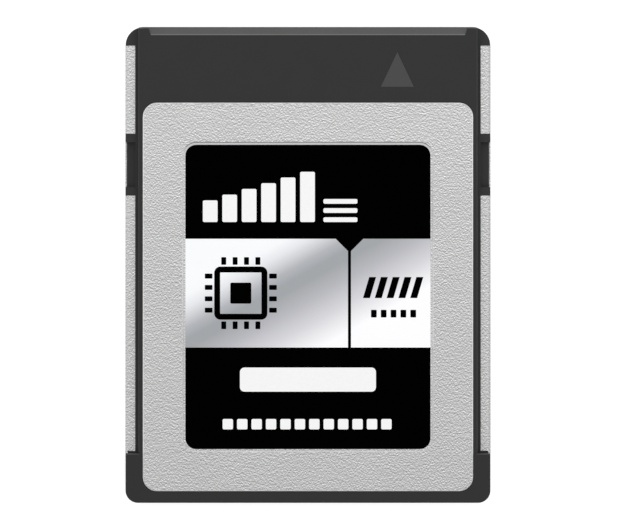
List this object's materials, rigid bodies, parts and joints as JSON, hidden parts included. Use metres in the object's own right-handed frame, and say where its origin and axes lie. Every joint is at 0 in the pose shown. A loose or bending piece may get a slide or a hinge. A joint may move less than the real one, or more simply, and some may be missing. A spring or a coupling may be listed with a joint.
{
  "type": "memory card",
  "caption": "Flat rectangular memory card with stepped side rails, latch notches, steel covers and a slot connector with spring contacts in its front end.",
  "frame": {"origin": "centre of the footprint, on the plane that the back lies on", "axes": "+Z out of the label side, +Y towards the connector end, +X across the width"},
  "size_m": [0.0296, 0.0384, 0.0038],
  "materials": {
    "frame_plastic": "moulded, fine satin texture",
    "cover_steel": "stainless sheet with a leathery embossed grain",
    "label_film": "printed film, black fields and a silver band",
    "adhesive": "thin adhesive film",
    "connector_plastic": "moulded, smooth",
    "contact_alloy": "gold-plated copper alloy",
    "board_laminate": "green solder mask",
    "chip_resin": "moulded resin package",
    "can_metal": "plated can",
    "ferrite": "moulded ferrite block",
    "ceramic": "ceramic body with tinned ends",
    "heat_pad": "soft silicone pad",
    "film": "amber insulating film"
  },
  "bodies": {
    "root": {"bottom_cover": "cover_steel", "bulk_capacitor_1": "ceramic", "bulk_capacitor_2": "ceramic", "bulk_capacitor_3": "ceramic", "bulk_capacitor_4": "ceramic", "capacitor_1": "ceramic", "capacitor_2": "ceramic", "capacitor_3": "ceramic", "capacitor_4": "ceramic", "capacitor_5": "ceramic", "capacitor_6": "ceramic", "capacitor_7": "ceramic", "capacitor_8": "ceramic", "circuit_board": "board_laminate", "connector_housing": "connector_plastic", "contact_01": "contact_alloy", "contact_02": "contact_alloy", "contact_03": "contact_alloy", "contact_04": "contact_alloy", "contact_05": "contact_alloy", "contact_06": "contact_alloy", "contact_07": "contact_alloy", "contact_08": "contact_alloy", "contact_09": "contact_alloy", "contact_10": "contact_alloy", "contact_11": "contact_alloy", "contact_12": "contact_alloy", "contact_13": "contact_alloy", "contact_14": "contact_alloy", "contact_15": "contact_alloy", "contact_16": "contact_alloy", "contact_17": "contact_alloy", "contact_18": "contact_alloy", "contact_19": "contact_alloy", "contact_20": "contact_alloy", "controller_chip": "chip_resin", "controller_thermal_pad": "heat_pad", "cover_adhesive": "adhesive", "crystal": "can_metal", "frame": "frame_plastic", "fuse": "ceramic", "inductor_1": "ferrite", "inductor_2": "ferrite", "inductor_3": "ferrite", "insulating_film": "film", "label": "label_film", "lower_nand_chip": "chip_resin", "lower_thermal_pad": "heat_pad", "nand_thermal_pad": "heat_pad", "power_chip": "chip_resin", "top_cover": "cover_steel", "upper_nand_chip": "chip_resin"}
  },
  "joints": []
}
